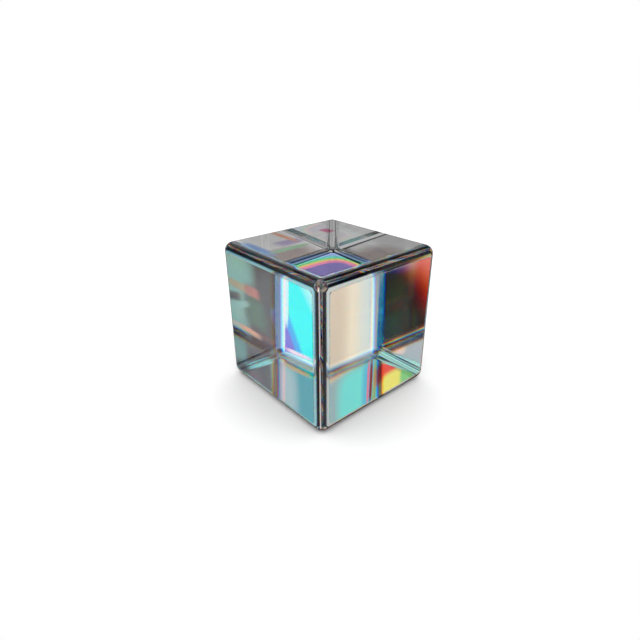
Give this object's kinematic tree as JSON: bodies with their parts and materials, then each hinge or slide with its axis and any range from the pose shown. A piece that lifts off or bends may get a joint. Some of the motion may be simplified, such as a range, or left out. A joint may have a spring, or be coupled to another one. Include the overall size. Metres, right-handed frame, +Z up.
{
  "type": "dichroic block cube",
  "caption": "Solid clear cube with rounded edges and a coloured film on every face, so that blocks of cyan, cream and violet light appear inside it and shift as it turns.",
  "frame": {"origin": "middle of the underside, on the surface that the cube stands on", "axes": "+Z up, -Y the front face and +X the right face; the shape is the same from all six sides"},
  "size_m": [0.05, 0.05, 0.05],
  "materials": {
    "clear_block": "clear, polished all over, index of refraction about 1.5",
    "cyan_film": "clear interference film, cyan seen straight through",
    "yellow_film": "clear interference film, pale yellow seen straight through",
    "violet_film": "clear interference film, violet seen straight through",
    "clear_adhesive": "clear optical adhesive"
  },
  "bodies": {
    "root": {"clear_block": "clear_block", "top_film": "violet_film", "top_adhesive": "clear_adhesive", "bottom_film": "violet_film", "bottom_adhesive": "clear_adhesive", "front_film": "yellow_film", "front_adhesive": "clear_adhesive", "back_film": "yellow_film", "back_adhesive": "clear_adhesive", "left_film": "cyan_film", "left_adhesive": "clear_adhesive", "right_film": "cyan_film", "right_adhesive": "clear_adhesive"}
  },
  "joints": []
}
